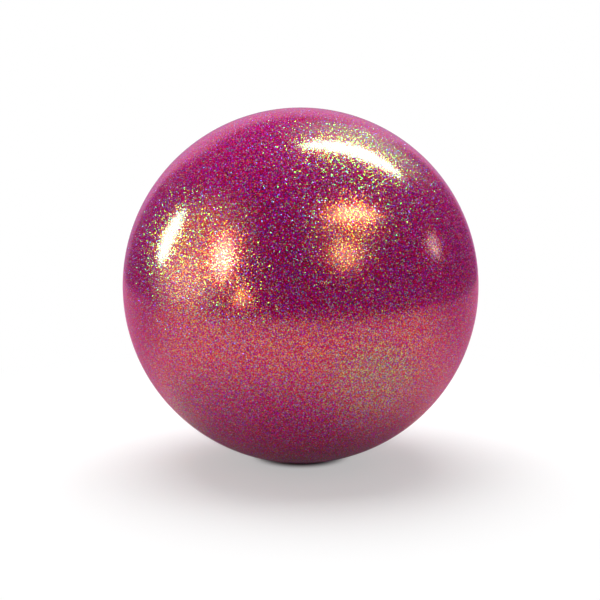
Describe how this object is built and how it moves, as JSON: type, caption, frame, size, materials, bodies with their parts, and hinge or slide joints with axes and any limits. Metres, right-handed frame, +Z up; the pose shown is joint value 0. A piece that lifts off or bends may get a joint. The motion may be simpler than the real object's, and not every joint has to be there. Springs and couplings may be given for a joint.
{
  "type": "rhythmic gymnastics ball",
  "caption": "Inflated rubber ball for rhythmic gymnastics, glitter skin under a clear gloss skin, with a plug valve that pulls out for the pump.",
  "frame": {"origin": "centre of the ball", "axes": "+Z up, away from the flat that the ball rests on; +Y out along the valve, so the side in the picture faces -Y; +X to the right in the picture"},
  "size_m": [0.185, 0.1847, 0.1842],
  "materials": {
    "rubber_body": "moulded rubber, magenta right through",
    "glitter_skin": "magenta lacquer filled with holographic glitter",
    "clear_skin": "clear gloss coat",
    "valve_bush": "moulded rubber",
    "valve_plug": "satin moulded plastic"
  },
  "bodies": {
    "ball": {"rubber_body": "rubber_body", "glitter_skin": "glitter_skin", "clear_skin": "clear_skin", "valve_bush": "valve_bush"},
    "plug": {"valve_plug": "valve_plug"}
  },
  "joints": [
    {"name": "plug_pull", "type": "slide", "parent": "ball", "child": "plug", "axis": [0, 1, 0], "range_m": [0, 0.022]}
  ]
}
